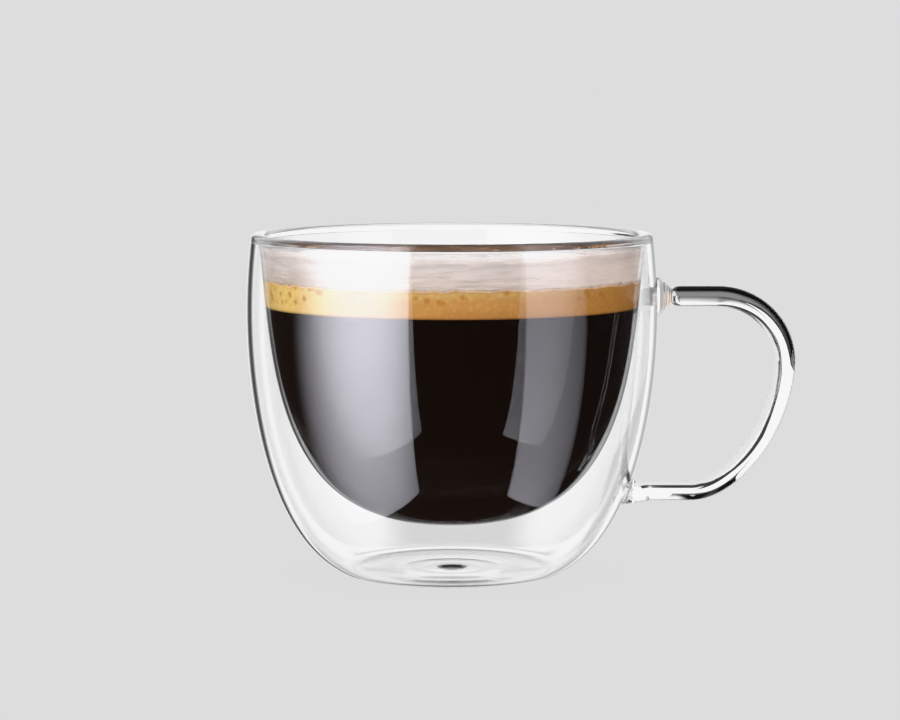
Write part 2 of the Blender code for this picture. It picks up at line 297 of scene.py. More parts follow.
def crema_foam():
    """Coffee crema: fine wet foam. Against the glass it is golden, amber at the drink and pale at its
    upper edge, with painted light on its left side and painted shade on its right. From above it is a
    duller brown with pores and paler swirls."""
    made, shader, put = new_material("coffee_crema_foam")
    place = put("TexCoord", out="Object")
    axes = put("SeparateXYZ", place).node.outputs
    patches = put("TexNoise", {"Vector": place, "Scale": 1.0 / FOAM_PATCH,
                               "Detail": 4.0, "Roughness": 0.6})
    swirls = put("TexNoise", {"Vector": place, "Scale": 1.0 / FOAM_SWIRL, "Detail": 6.0,
                              "Roughness": 0.62, "Distortion": 0.8})
    cells, pores = (put("TexVoronoi", {"Vector": place, "Scale": 1.0 / size})
                    for size in (FOAM_CELL, FOAM_PORE))
    grain = put("TexVoronoi", {"Vector": place, "Scale": 1.0 / FOAM_GRAIN}, feature="SMOOTH_F1")

    # The layers lie a little askew, lower on the left, and wander all round
    height = put("ADD", axes["Z"], put("MULTIPLY_ADD", patches, 0.0036, -0.0018))
    height = put("ADD", height, put("MULTIPLY", axes["X"], -0.020))
    low = put("Smooth", height, COFFEE_TOP_Z, COFFEE_TOP_Z + 0.0024)
    high = put("Smooth", height, COFFEE_TOP_Z + 0.0030, CREMA_TOP_Z - 0.0008)
    side = put("Tint", low, "#C98C4A", "#D69C55")
    side = put("Tint", high, side, "#DEB26C")

    # Painted light pales the left side and painted shade makes the right side a darker amber, with a dark
    # line along the drink
    across = put("MULTIPLY_ADD", patches, 0.016, axes["X"])
    side = put("Tint", put("Smooth", across, -0.030, -0.008, 0.85, 0.0), side, "#FFDA84")
    side = put("Tint", put("Smooth", across, 0.018, 0.046, 0.0, 0.75), side, "#D28F42")
    line = put("Smooth", axes["Z"], COFFEE_TOP_Z - 0.0001, COFFEE_TOP_Z + 0.0006, 0.25, 1.0)
    side = put("Tint", line, "#5A3014", side)

    # The upper face is the duller brown, and all of it is shaded by pores
    top = put("Tint", put("Smooth", swirls, 0.36, 0.66), "#4A372E", "#65503F")
    facing = put("SeparateXYZ", put("NewGeometry", out="Normal"), out="Z")
    outer = put("Smooth", facing, 0.35, 0.60, 1.0, 0.0)
    colour = put("Tint", outer, top, side)
    colour = put("Shade", 1.0, colour, put("Blend", put("Smooth", pores, 0.10, 0.55), 1.0, 0.86))

    # Darker cells in the upper part of the side
    spots = product(put, put("Smooth", cells, 0.18, 0.46, 0.75, 0.0), outer,
                    put("Smooth", height, 0.0650, 0.0662),
                    put("Smooth", patches, 0.30, 0.44))
    colour = put("Tint", spots, colour, "#B9762F")
    bump = put("Bump", {"Strength": 0.15, "Distance": 0.0002, "Height": grain})
    fill(shader, {"Base Color": colour, "Roughness": 0.45, "Specular IOR Level": 0.0, "Normal": bump})
    return made


def bubble_film():
    """The bubbles' thin wet film, gold from the foam behind it."""
    made, shader, _ = new_material("foam_bubble_film")
    fill(shader, {"Base Color": "#A07C55", "Roughness": 0.25, "Specular IOR Level": 0.15})
    return made


def foam_residue():
    """Dried foam and steam on the bowl's wall: a pale haze in level streaks, pinker and thicker near the
    crema, thinner towards the lip and on the far side of the cup. Painted shade makes it dark grey at
    the lip and dimmer in reflections and through the lip, and painted light pales its right side."""
    made, shader, put = new_material("foam_haze_on_glass")
    place = put("TexCoord", out="Object")
    axes = put("SeparateXYZ", place).node.outputs
    height = axes["Z"]
    flat = put("Mapping", {"Vector": place, "Scale": (1.0, 1.0, HAZE_STREAK_FLATNESS)})
    streaks = put("TexNoise", {"Vector": flat, "Scale": 1.0 / HAZE_STREAK,
                               "Detail": 6.0, "Roughness": 0.68})
    lumps = put("TexNoise", {"Vector": place, "Scale": 1.0 / HAZE_LUMP,
                             "Detail": 3.0, "Roughness": 0.6})
    ragged = put("ADD", height, put("MULTIPLY_ADD", lumps, 0.0016, -0.0008))

    # How thick it is, from the foam up to the lip and from the front to the far side
    upwards = put("Smooth", height, 0.0738, HAZE_TOP_Z, 1.0, 0.0)
    thick = product(put, put("Blend", upwards, 0.28, 0.88),
                    put("Smooth", streaks, 0.3, 0.7, 0.82, 1.18),
                    put("Smooth", ragged, CREMA_TOP_Z - 0.0006, CREMA_TOP_Z + 0.0003),
                    put("Smooth", axes["Y"], -0.004, 0.022, 1.0, 0.10))

    # A film seen aslant covers more, as the light goes further through it
    facing = put("LayerWeight", 0.5, out="Facing")
    further = put("DIVIDE", 1.0, put("MAXIMUM", 0.15, put("SUBTRACT", 1.0, facing)))
    clear = put("POWER", put("SUBTRACT", 1.0, thick), further)

    # Painted shade makes it dark grey near the lip; lower down it is pink, paler on the right with
    # painted light, and brown where it meets the foam
    low = put("Tint", put("Smooth", height, 0.0700, 0.0730), "#C2B3A8", "#D0C3BD")
    low = put("Tint", put("Smooth", axes["X"], 0.006, 0.040), low, "#FFEADE")
    foot = put("Smooth", ragged, CREMA_TOP_Z - 0.0003, CREMA_TOP_Z + 0.0008)
    low = put("Tint", foot, "#6E4E28", low)
    pink = put("ADD", put("Smooth", height, 0.0730, HAZE_TOP_Z, 1.0, 0.0),
               put("Smooth", streaks, 0.3, 0.7, -0.15, 0.15))
    colour = put("Tint", pink, "#444242", low)

    # Painted shade: dimmer in reflections, and where it is seen through the solid lip
    path = put("LightPath").node.outputs
    mirrored = put("MINIMUM", 1.0, path["Glossy Depth"])
    in_lip = hump(put, path["Transmission Depth"], 0.3, 0.7, 2.3, 2.7)
    painted_dimming = product(put, put("MULTIPLY_ADD", mirrored, -0.7, 1.0),
                  put("MULTIPLY_ADD", in_lip, -0.72, 1.0))
    fill(shader, {"Base Color": put("Shade", 1.0, colour, painted_dimming),
                  "Alpha": put("SUBTRACT", 1.0, clear), "Roughness": 0.7, "IOR": 1.33})
    return made


def evenly_along(curve, count, turn_worth=0.01):
    """Points along curve(t), t from 0 to 1, spaced by length and by how much the curve turns."""
    samples = 2400
    dense = [Vector(curve(i / samples)) for i in range(samples + 1)]
    measure = [0.0]
    for i in range(samples):
        step = dense[i + 1] - dense[i]
        before = dense[i] - dense[max(i - 1, 0)]
        turn = before.angle(step, 0.0)
        measure.append(measure[-1] + step.length + turn * turn_worth)
    points = []
    k = 0
    for i in range(count):
        target = measure[-1] * i / (count - 1)
        while k < samples - 1 and measure[k + 1] < target:
            k += 1
        share = min(1.0, (target - measure[k]) / (measure[k + 1] - measure[k]))
        points.append(dense[k].lerp(dense[k + 1], share))
    return points


def offset(points, distance_at):
    """The outline moved to its left-hand side, by a distance that may change with height."""
    moved = []
    last = len(points) - 1
    for i, point in enumerate(points):
        along = points[min(i + 1, last)] - points[max(i - 1, 0)]
        left = Vector((-along.y, along.x)).normalized()
        if point.x < MERGE:
            left = Vector((0.0, math.copysign(1.0, left.y)))
        moved.append(point + left * distance_at(point.y))
    return moved


def body_depth():
    open_share = (FOOT_CORNER_RADIUS / BODY_RADIUS) ** BODY_FLOOR_POWER
    return BODY_WIDEST_Z / (1.0 - open_share) ** (1.0 / BODY_SIDE_POWER)


def body_radius(z):
    if z >= BODY_WIDEST_Z:
        rise = (z - BODY_WIDEST_Z) / (LIP_JOIN_Z - BODY_WIDEST_Z)
        return BODY_RADIUS - (BODY_RADIUS - LIP_OUTER_RADIUS) * rise ** 2
    drop = (BODY_WIDEST_Z - z) / body_depth()
    return BODY_RADIUS * (1.0 - drop ** BODY_SIDE_POWER) ** (1.0 / BODY_FLOOR_POWER)


def body_slope(z):
    step = 0.0002
    return (body_radius(z + step) - body_radius(z - step)) / (2.0 * step)


def body_outline(flank_points=76, fillet_points=14):
    """Outer shell from the lip down to the edge of the flat foot."""
    lean = math.atan2(1.0, body_slope(0.0003))
    reach = FOOT_FILLET * math.tan(lean / 2.0)
    fillet_top_z = reach * math.sin(lean)

    def flank(t):
        z = LIP_JOIN_Z + (fillet_top_z - LIP_JOIN_Z) * t
        return (body_radius(z), z)

    points = evenly_along(flank, flank_points)
    foot_edge = points[-1].x - FOOT_FILLET * math.sin(lean)
    for i in range(1, fillet_points + 1):
        angle = lean * (1.0 - i / fillet_points)
        points.append(Vector((foot_edge + FOOT_FILLET * math.sin(angle),
                              FOOT_FILLET * (1.0 - math.cos(angle)))))
    return points


def bowl_mouth(z):
    """Radius of the cone that the bowl's side closes in on towards its mouth."""
    return BOWL_MOUTH_RADIUS - BOWL_TAPER * (BOWL_MOUTH_Z - z)


def bowl_outline(count=80):
    """The bowl's gap side, from its mouth down to the middle of its floor."""
    def side(t):
        angle = t * math.pi / 2.0
        drop = math.sin(angle) ** (2.0 / BOWL_SIDE_POWER)
        z = BOWL_SHOULDER_Z - (BOWL_SHOULDER_Z - BOWL_BOTTOM_Z) * drop
        return (bowl_mouth(z) * max(0.0, math.cos(angle)) ** (2.0 / BOWL_FLOOR_POWER), z)

    points = evenly_along(side, count)
    points[-1].x = 0.0
    return points


def bowl_radius(z):
    """Radius of the bowl's gap side at a height in its upper part."""
    drop = max(0.0, BOWL_SHOULDER_Z - z) / (BOWL_SHOULDER_Z - BOWL_BOTTOM_Z)
    return bowl_mouth(z) * (1.0 - drop ** BOWL_SIDE_POWER) ** (1.0 / BOWL_FLOOR_POWER)


def inside_bowl(distance=BOWL_WALL - INTO_WALL):
    """The bowl's outline moved towards the drink, to the drink's own side unless a distance is given."""
    return [Vector((max(0.0, p.x), p.y)) for p in offset(bowl_outline(), lambda z: -distance)]


def lip_outline(inner_radius, count=26):
    """The rounded lip from the drink's side over to the outer side."""
    middle = (LIP_OUTER_RADIUS + inner_radius) / 2.0
    half = (LIP_OUTER_RADIUS - inner_radius) / 2.0
    points = []
    for i in range(count + 1):
        angle = math.pi * (1.0 - i / count)
        across = math.copysign(abs(math.cos(angle)) ** (2.0 / LIP_POWER), math.cos(angle))
        up = abs(math.sin(angle)) ** (2.0 / LIP_POWER)
        points.append(Vector((middle + half * across, LIP_JOIN_Z + (LIP_TOP_Z - LIP_JOIN_Z) * up)))
    return points


def shell_wall(z):
    fade = max(0.0, 1.0 - z / FOOT_WALL_FADE_Z)
    return BODY_WALL + (FOOT_WALL - BODY_WALL) * fade ** 2


def skin_outline():
    """The glass's outer skin: from the bowl's floor up, over the lip and down to the foot's middle."""
    drink_side = inside_bowl(BOWL_WALL)
    drink_side.reverse()
    lip_inner = bowl_mouth(LIP_JOIN_Z) - BOWL_WALL
    body = body_outline()
    foot = []
    for i in range(1, FOOT_ROWS + 1):
        radius = body[-1].x * (1.0 - i / FOOT_ROWS) ** FOOT_ROW_SPREAD
        hollow = 1.0 - (radius / body[-1].x) ** 2
        foot.append(Vector((radius, FOOT_HOLLOW * hollow)))
    return drink_side + lip_outline(lip_inner) + body[1:] + foot


def gap_outline():
    """The sealed gap between the shells: from the foot's middle up the shell and down the bowl."""
    body = body_outline()
    shell = [p for p in offset(body, lambda z: -shell_wall(z)) if p.y < GAP_CROTCH_Z]
    shell.reverse()
    bowl = bowl_outline()
    gap_outer = body_radius(GAP_TOP_Z) - BODY_WALL
    gap_inner = bowl[0].x
    middle = (gap_outer + gap_inner) / 2.0
    half = (gap_outer - gap_inner) / 2.0
    floor = []
    for i in range(GAP_FLOOR_ROWS):
        radius = shell[0].x * i / GAP_FLOOR_ROWS
        seal = 1.0 - min(1.0, radius / SEAL_RADIUS) ** SEAL_POWER
        ripple = sum(height * math.exp(-((radius - place) / width) ** 2)
                     for place, width, height in FOOT_RIPPLES)
        floor.append(Vector((radius, FOOT_WALL - SEAL_DEPTH * seal + ripple)))
    crotch = []
    for i in range(GAP_CROTCH_STEPS + 1):
        angle = math.pi * i / GAP_CROTCH_STEPS
        crotch.append(Vector((middle + half * math.cos(angle),
                              GAP_TOP_Z - half + half * math.sin(angle))))
    return floor + shell + crotch + bowl[1:]


def mesh_of(name, verts, faces):
    mesh = bpy.data.meshes.new(name)
    mesh.from_pydata(verts, [], faces)
    mesh.update()
    return mesh


def spun(points, closed=False):
    """Vertices and faces of a row of points turned about Z. A closed row runs on from its last point
    to its first."""
    verts = []
    for p in points:
        for i in range(TURN_STEPS):
            angle = math.tau * i / TURN_STEPS
            verts.append((p.x * math.cos(angle), p.x * math.sin(angle), p.y))
    faces = []
    for row in range(len(points) if closed else len(points) - 1):
        a, b = row * TURN_STEPS, (row + 1) % len(points) * TURN_STEPS
        for i in range(TURN_STEPS):
            j = (i + 1) % TURN_STEPS
            faces.append((a + j, a + i, b + i, b + j))
    return verts, faces


def turned_mesh(name, outline):
    """A closed mesh turned about Z from an outline that starts and ends on the axis and has the
    material on its right-hand side."""
    ring = [p for p in outline if p.x > MERGE]
    verts, faces = spun(ring)
    for z, row, first in ((outline[0].y, 0, True), (outline[-1].y, len(ring) - 1, False)):
        pole = len(verts)
        verts.append((0.0, 0.0, z))
        for i in range(TURN_STEPS):
            face = (pole, row * TURN_STEPS + i, row * TURN_STEPS + (i + 1) % TURN_STEPS)
            faces.append(face if first else face[::-1])
    return mesh_of(name, verts, faces)


def linked(name, data):
    made = bpy.data.objects.new(name, data)
    bpy.context.scene.collection.objects.link(made)
    return made


def dressed(mesh, material):
    mesh.materials.clear()
    mesh.materials.append(material)
    mesh.shade_smooth()
    return mesh


def baked(piece):
    """A plain mesh of what the piece is with its modifiers or its curve's bevel."""
    bpy.context.view_layer.update()
    return bpy.data.meshes.new_from_object(piece.evaluated_get(bpy.context.evaluated_depsgraph_get()))


def lower_root_radius(distance):
    spread = math.exp(-(max(0.0, distance) / LOW_FLARE_FADE) ** LOW_FLARE_POWER)
    return ROD_RADIUS_LOW + (LOW_FLARE_RADIUS - ROD_RADIUS_LOW) * spread


def upper_root_radius(distance):
    """The rod's radius over the rings that the tool left where it was fused to the wall."""
    for (d0, r0), (d1, r1) in zip(UPPER_ROOT, UPPER_ROOT[1:]):
        if distance <= d1:
            share = max(0.0, distance - d0) / (d1 - d0)
            return r0 + (r1 - r0) * (0.5 - 0.5 * math.cos(math.pi * share))
    return ROD_RADIUS_TOP


def handle_route(run_steps=90, arc_steps=48, bend_points=70, straight_steps=12, turn_steps=30):
    """The rod's middle line with its radius, from the upper root to the lower one: a run straight
    out of the wall, the arc of its bend, the lower bend, and a short turn square to the wall."""
    route = []
    wall_x = body_radius(HANDLE_TOP_Z)
    run = HANDLE_TOP_BEND_X - wall_x
    for i in range(run_steps):
        d = -ROOT_DEPTH + (run + ROOT_DEPTH) * (i / run_steps) ** ROOT_ROW_SPREAD
        route.append((wall_x + d, HANDLE_TOP_Z, upper_root_radius(d)))
    for i in range(arc_steps + 1):
        angle = math.pi / 2.0 * i / arc_steps
        route.append((HANDLE_TOP_BEND_X + (HANDLE_APEX_X - HANDLE_TOP_BEND_X) * math.sin(angle),
                      HANDLE_APEX_Z + (HANDLE_TOP_Z - HANDLE_APEX_Z) * math.cos(angle),
                      ROD_RADIUS_TOP + (ROD_RADIUS_APEX - ROD_RADIUS_TOP) * math.sin(angle)))

    def low_bend(t):
        angle = math.pi / 2.0 * t
        across = math.cos(angle) ** (2.0 / HANDLE_LOW_POWER) if t < 1.0 else 0.0
        down = math.sin(angle) ** (2.0 / HANDLE_LOW_POWER)
        return (HANDLE_LOW_BEND_X + (HANDLE_APEX_X - HANDLE_LOW_BEND_X) * across,
                HANDLE_APEX_Z - (HANDLE_APEX_Z - HANDLE_BOTTOM_Z) * down)

    bend = evenly_along(low_bend, bend_points)
    for i, point in enumerate(bend[1:], start=1):
        share = i / (bend_points - 1)
        route.append((point.x, point.y, ROD_RADIUS_APEX + (ROD_RADIUS_LOW - ROD_RADIUS_APEX) * share))
    foot = Vector((body_radius(HANDLE_BOTTOM_Z), HANDLE_BOTTOM_Z))
    outward = Vector((1.0, -body_slope(HANDLE_BOTTOM_Z))).normalized()
    straight = Vector((foot.x + HANDLE_LOW_STRAIGHT, HANDLE_BOTTOM_Z))
    for i in range(1, straight_steps):
        point = Vector((HANDLE_LOW_BEND_X, HANDLE_BOTTOM_Z)).lerp(straight, i / straight_steps)
        route.append((point.x, point.y, ROD_RADIUS_LOW))
    near = foot - outward * ROOT_DEPTH
    corner = foot + outward * HANDLE_LOW_TURN
    for i in range(turn_steps + 1):
        t = i / turn_steps
        point = straight.lerp(corner, t).lerp(corner.lerp(near, t), t)
        route.append((point.x, point.y, lower_root_radius((point - foot).dot(outward))))
    return route


def handle_mesh():
    curve = bpy.data.curves.new("handle_line", "CURVE")
    curve.dimensions = "3D"
    curve.bevel_depth = 1.0
    curve.bevel_resolution = 9
    curve.use_fill_caps = True
    route = handle_route()
    spline = curve.splines.new("POLY")
    spline.points.add(len(route) - 1)
    for point, (x, z, radius) in zip(spline.points, route):
        point.co = (x, 0.0, z, 1.0)
        point.radius = radius
    rod = linked("handle_line", curve)
    mesh = baked(rod)
    bpy.data.objects.remove(rod)
    bpy.data.curves.remove(curve)
    work = bmesh.new()
    work.from_mesh(mesh)
    bmesh.ops.remove_doubles(work, verts=work.verts, dist=MERGE)
    bmesh.ops.recalc_face_normals(work, faces=work.faces)
    work.to_mesh(mesh)
    work.free()
    return mesh


def united(base, other):
    """The base object's mesh joined with another closed mesh by a Boolean union."""
    tool = linked("union_tool", other)
    union = base.modifiers.new("union", "BOOLEAN")
    union.operation = "UNION"
    union.solver = "EXACT"
    union.object = tool
    mesh = baked(base)
    base.modifiers.clear()
    base.data = mesh
    bpy.data.objects.remove(tool)


def joined(meshes, name):
    work = bmesh.new()
    for mesh in meshes:
        work.from_mesh(mesh)
    made = bpy.data.meshes.new(name)
    work.to_mesh(made)
    work.free()
    return made


def cut_at(points, z):
    for a, b in zip(points, points[1:]):
        if a.y >= z > b.y:
            return a.lerp(b, (a.y - z) / (a.y - b.y))
    raise ValueError("the outline does not reach this height")


def crema_relief(point):
    broad = noise.noise(point / CREMA_WAVE_SIZE)
    fine = noise.noise(point / CREMA_RIPPLE_SIZE + CREMA_RIPPLE_SHIFT)
    return CREMA_WAVE_HEIGHT * (broad + CREMA_RIPPLE_SHARE * fine)


def bubble_points(edge_radius):
    """The foam's large bubbles as points with their radius, at the same places as in the solids."""
    draw = random.Random(BUBBLE_SEED)
    places = []
    radii = []
    for i in range(RIM_BUBBLES + TOP_BUBBLES):
        radius = draw.uniform(BUBBLE_RADIUS_MIN, BUBBLE_RADIUS_MAX)
        if i < RIM_BUBBLES:
            angle = math.tau * (i + draw.uniform(-BUBBLE_STRAY, BUBBLE_STRAY)) / RIM_BUBBLES
            reach = edge_radius - radius - CLEARANCE / 2.0
            level = CREMA_TOP_Z + CREMA_EDGE_RISE
        else:
            order = i - RIM_BUBBLES
            angle = math.tau * (order + draw.uniform(-BUBBLE_STRAY, BUBBLE_STRAY)) / TOP_BUBBLES
            reach = edge_radius * draw.uniform(*TOP_BUBBLE_REACH)
            level = CREMA_TOP_Z
        places.append((reach * math.cos(angle), reach * math.sin(angle), level - radius * BUBBLE_SUNK))
        radii.append(radius)
    mesh = mesh_of("bubble_points", places, [])
    mesh.attributes.new("bubble_radius", "FLOAT", "POINT").data.foreach_set("value", radii)
    return mesh


def bubble_tree():
    """Geometry nodes: a ball on every point, and fine balls scattered over the foam's upper face."""
    tree = bpy.data.node_groups.new("foam_bubbles", "GeometryNodeTree")
    for name, kind in (("Geometry", "Geometry"), ("Foam", "Object"), ("Fine Radius Min", "Float"),
                       ("Fine Radius Max", "Float"), ("Fine Density", "Float"), ("Seed", "Int"),
                       ("Material", "Material")):
        tree.interface.new_socket(name, in_out="INPUT", socket_type="NodeSocket" + kind)
    tree.interface.new_socket("Geometry", in_out="OUTPUT", socket_type="NodeSocketGeometry")
    put = partial(add, tree)
    given = put("NodeGroupInput").node.outputs
    size = put("GeometryNodeInputNamedAttribute", "bubble_radius", data_type="FLOAT")
    ball = put("GeometryNodeMeshUVSphere", *LARGE_BUBBLE_STEPS, 1.0)
    large = put("GeometryNodeInstanceOnPoints", {"Points": given["Geometry"], "Instance": ball,
                                                 "Scale": size})

    # The foam's upper face, with its sides taken away
    foam = put("GeometryNodeObjectInfo", given["Foam"], out="Geometry")
    upward = put("SeparateXYZ", put("GeometryNodeInputNormal"), out="Z")
    sides = put("FunctionNodeCompare", upward, FOAM_SIDE_LEAN, data_type="FLOAT", operation="LESS_THAN")
    upper = put("GeometryNodeDeleteGeometry", foam, sides, domain="FACE")

    # Many bubbles near the wall, and some in patches elsewhere
    axes = put("SeparateXYZ", put("GeometryNodeInputPosition")).node.outputs
    reach = put("VectorMath", put("CombineXYZ", axes["X"], axes["Y"]), operation="LENGTH")
    patches = put("TexNoise", {"Scale": 1.0 / FINE_BUBBLE_PATCH, "Detail": 2.0})
    share = put("ADD", put("Smooth", reach, *FINE_BUBBLE_EDGE),
                put("Smooth", patches, 0.55, 0.75, 0.02, 0.35))
    density = product(put, share, put("Smooth", reach, *FINE_BUBBLE_END, 1.0, 0.0),
                      given["Fine Density"])
    points = put("GeometryNodeDistributePointsOnFaces", {"Mesh": upper, "Density": density,
                                                         "Seed": given["Seed"]})
    radius = put("FunctionNodeRandomValue",
                 {2: given["Fine Radius Min"], 3: given["Fine Radius Max"], "Seed": given["Seed"]},
                 data_type="FLOAT")
    bead = put("GeometryNodeMeshUVSphere", *FINE_BUBBLE_STEPS, 1.0)
    fine = put("GeometryNodeInstanceOnPoints", {"Points": points, "Instance": bead, "Scale": radius})
    both = put("GeometryNodeJoinGeometry").node
    for balls in (large, fine):
        tree.links.new(balls, both.inputs[0])
    real = put("GeometryNodeRealizeInstances", both.outputs[0])
    done = put("GeometryNodeSetMaterial", {"Geometry": real, "Material": given["Material"]})
    put("NodeGroupOutput", {"Geometry": done})
    return tree


def grown(name, base_mesh, tree, values, material):
    """A plain mesh from a geometry nodes tree run over a base mesh. values has its named inputs."""
    base = linked("grown_base", dressed(base_mesh, material))
    grower = base.modifiers.new("grow", "NODES")
    grower.node_group = tree
    for item in tree.interface.items_tree:
        if item.in_out == "INPUT" and item.name in values:
            grower[item.identifier] = values[item.name]
    mesh = baked(base)
    base.modifiers.clear()
    bpy.data.objects.remove(base)
    return linked(name, dressed(mesh, material))


def glass_waves(mesh, height):
    """The slow waves that fire-polishing leaves in the lip."""
    for vertex in mesh.vertices:
        near_lip = max(0.0, (vertex.co.z - LIP_WAVE_LOW_Z) / LIP_WAVE_FADE)
        if near_lip > 0.0:
            wave = noise.noise(vertex.co / LIP_WAVE_SIZE)
            vertex.co.z -= height * min(1.0, near_lip) * (1.0 + wave)


def foot_swell(mesh):
    """The low swell that the soft glass leaves in the front of the foot, on the side of the gap."""
    for vertex in mesh.vertices:
        radius = math.hypot(vertex.co.x, vertex.co.y)
        if vertex.co.z < SWELL_TOP_Z and radius > 0.0:
            front = max(0.0, -vertex.co.y / radius) ** SWELL_POWER
            ring = math.exp(-((radius - SWELL_RADIUS) / SWELL_WIDTH) ** 2)
            vertex.co.z += SWELL_HEIGHT * front * ring


class CupSettings(bpy.types.PropertyGroup):
    waviness: FloatProperty(name="Waviness", description="Height of the slow waves in the lip",
                            default=LIP_WAVE_HEIGHT, min=0.0, unit="LENGTH")


class DrinkSettings(bpy.types.PropertyGroup):
    coffee_colour: FloatVectorProperty(name="Coffee", description="Colour of the brewed coffee",
                                       subtype="COLOR", size=3, default=linear("#060302"))


class StageSettings(bpy.types.PropertyGroup):
    left_box: FloatProperty(name="Left softbox", description="Brightness of the softbox on the left",
                            default=2.9, min=0.0)
    right_box: FloatProperty(name="Right softbox", description="Brightness of the softbox on the right",
                             default=1.5, min=0.0)


class CUP_OT_blow_glass(bpy.types.Operator):
    """Blows the double-walled cup with its handle rod and sealed foot"""
    bl_idname = "coffee_cup.blow_glass"
    bl_label = "Blow Glass"

    def execute(self, context):
        glass = borosilicate_glass()
        skin = turned_mesh("skin", skin_outline())
        glass_waves(skin, context.scene.coffee_glass.waviness)
        cup = linked("glass_cup", dressed(skin, glass))
        united(cup, handle_mesh())
        gap = turned_mesh("gap", gap_outline())
        foot_swell(gap)
        cup.data = dressed(joined([cup.data, gap], "glass_cup"), glass)
        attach(cup, ROOT)
        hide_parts("glass", "seal_bead")
        return {"FINISHED"}


class CUP_OT_pour_coffee(bpy.types.Operator):
    """Fills the bowl with coffee up to the crema"""
    bl_idname = "coffee_cup.pour_coffee"
    bl_label = "Pour Coffee"

    def execute(self, context):
        side = inside_bowl()
        edge = cut_at(side, COFFEE_TOP_Z)
        outline = [Vector((0.0, COFFEE_TOP_Z)), edge] + [p for p in side if p.y < COFFEE_TOP_Z - MERGE]
        liquid = black_coffee(context.scene.coffee_drink.coffee_colour)
        coffee = linked("black_coffee", dressed(turned_mesh("black_coffee", outline), liquid))
        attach(coffee, ROOT)
        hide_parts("coffee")
        return {"FINISHED"}


class CUP_OT_lay_crema(bpy.types.Operator):
    """Lays the crema on the coffee"""
    bl_idname = "coffee_cup.lay_crema"
    bl_label = "Lay Crema"

    def execute(self, context):
        side = inside_bowl()
        top = CREMA_TOP_Z + CREMA_EDGE_RISE
        edge = cut_at(side, top)
        flat_radius = edge.x - CREMA_EDGE_WIDTH
        outline = [Vector((0.0, COFFEE_TOP_Z)), cut_at(side, COFFEE_TOP_Z)]
        rising = [p for p in side if COFFEE_TOP_Z + MERGE < p.y < top - MERGE]
        outline += rising[::-1] + [edge]
        for i in range(CREMA_EDGE_ROWS - 1, 0, -1):
            share = i / CREMA_EDGE_ROWS
            outline.append(Vector((flat_radius + CREMA_EDGE_WIDTH * share,
                                   CREMA_TOP_Z + CREMA_EDGE_RISE * share ** 2)))
        for i in range(CREMA_TOP_ROWS, -1, -1):
            outline.append(Vector((flat_radius * i / CREMA_TOP_ROWS, CREMA_TOP_Z)))
        outline.reverse()
        mesh = turned_mesh("crema_layer", outline)
        for vertex in mesh.vertices:
            if vertex.co.z > CREMA_TOP_Z - CLEARANCE:
                vertex.co.z += crema_relief(vertex.co.copy())
        crema = linked("crema_layer", dressed(mesh, crema_foam()))
        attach(crema, ROOT)
        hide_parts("crema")
        return {"FINISHED"}


class CUP_OT_scatter_bubbles(bpy.types.Operator):
    """Sets large bubbles against the glass and on the foam, and fine ones between them"""
    bl_idname = "coffee_cup.scatter_bubbles"
    bl_label = "Scatter Bubbles"

    def execute(self, context):
        side = inside_bowl()
        edge = cut_at(side, CREMA_TOP_Z + CREMA_EDGE_RISE)
        film = bubble_film()
        values = {"Foam": bpy.data.objects["crema_layer"], "Fine Radius Min": FINE_BUBBLE_MIN,
                  "Fine Radius Max": FINE_BUBBLE_MAX, "Fine Density": FINE_BUBBLE_DENSITY,
                  "Seed": FINE_BUBBLE_SEED, "Material": film}
        bubbles = grown("foam_bubbles", bubble_points(edge.x), bubble_tree(), values, film)
        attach(bubbles, ROOT)
        return {"FINISHED"}


class CUP_OT_leave_haze(bpy.types.Operator):
    """Leaves a thin haze of foam on the wall above the crema"""
    bl_idname = "coffee_cup.leave_haze"
    bl_label = "Leave Haze"

    def execute(self, context):
        rise = HAZE_TOP_Z - HAZE_LOW_Z
        levels = [HAZE_LOW_Z + rise * i / HAZE_ROWS for i in range(HAZE_ROWS + 1)]
        outer = [Vector((bowl_radius(z) - BOWL_WALL + HAZE_INTO_WALL, z)) for z in levels]
        inner = [Vector((bowl_radius(z) - BOWL_WALL - HAZE_THICKNESS, z)) for z in levels]
        film = mesh_of("foam_haze", *spun(outer[::-1] + inner, closed=True))
        haze = linked("foam_haze", dressed(film, foam_residue()))
        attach(haze, ROOT)
        return {"FINISHED"}


class CUP_OT_set_stage(bpy.types.Operator):
    """Sets the floor, the studio light and the camera"""
    bl_idname = "coffee_cup.set_stage"
    bl_label = "Set Stage"

    def execute(self, context):
        stage = context.scene.coffee_stage
        make_floor()
        make_world(context.scene)
        make_cards()
        softbox("softbox_left", near=-22.9, far=-100.0, radiance=stage.left_box,
                fades=(-0.30, 0.30, 0.40, 0.95), slope=(0.78, 1.70))
        softbox("softbox_right", near=39.8, far=77.0, radiance=stage.right_box,
                fades=(-1.00, -0.50, 0.30, 1.50), slope=(1.30, 0.85))
        make_camera(context.scene)
        set_light_limits(context.scene)
        return {"FINISHED"}


BACKDROP = linear("#DDDDDD")
FLOOR_REACH = 4.0
CONTACT_SHADOW_REACH = 0.012


def hide_from(piece, *rays):
    for ray in rays:
        setattr(piece, "visible_" + ray, False)


def make_floor():
    """A pale floor that only the camera sees, with a faint contact shadow under the cup."""
    made, _, put = new_material("pale_studio_floor")
    hollow = put("AmbientOcclusion", {"Distance": CONTACT_SHADOW_REACH}, out="AO", samples=8)
    level = put("Smooth", hollow, 0.0, 1.0, 0.985, 1.0)
    show(made, put("Emission", put("Shade", 1.0, (*BACKDROP, 1.0), level), 1.0))
    corners = [(x * FLOOR_REACH, y * FLOOR_REACH, 0.0) for x, y in ((-1, -1), (1, -1), (1, 1), (-1, 1))]
    floor = linked("floor", dressed(mesh_of("floor", corners, [(0, 1, 2, 3)]), made))
    hide_from(floor, "glossy", "transmission", "diffuse", "shadow")


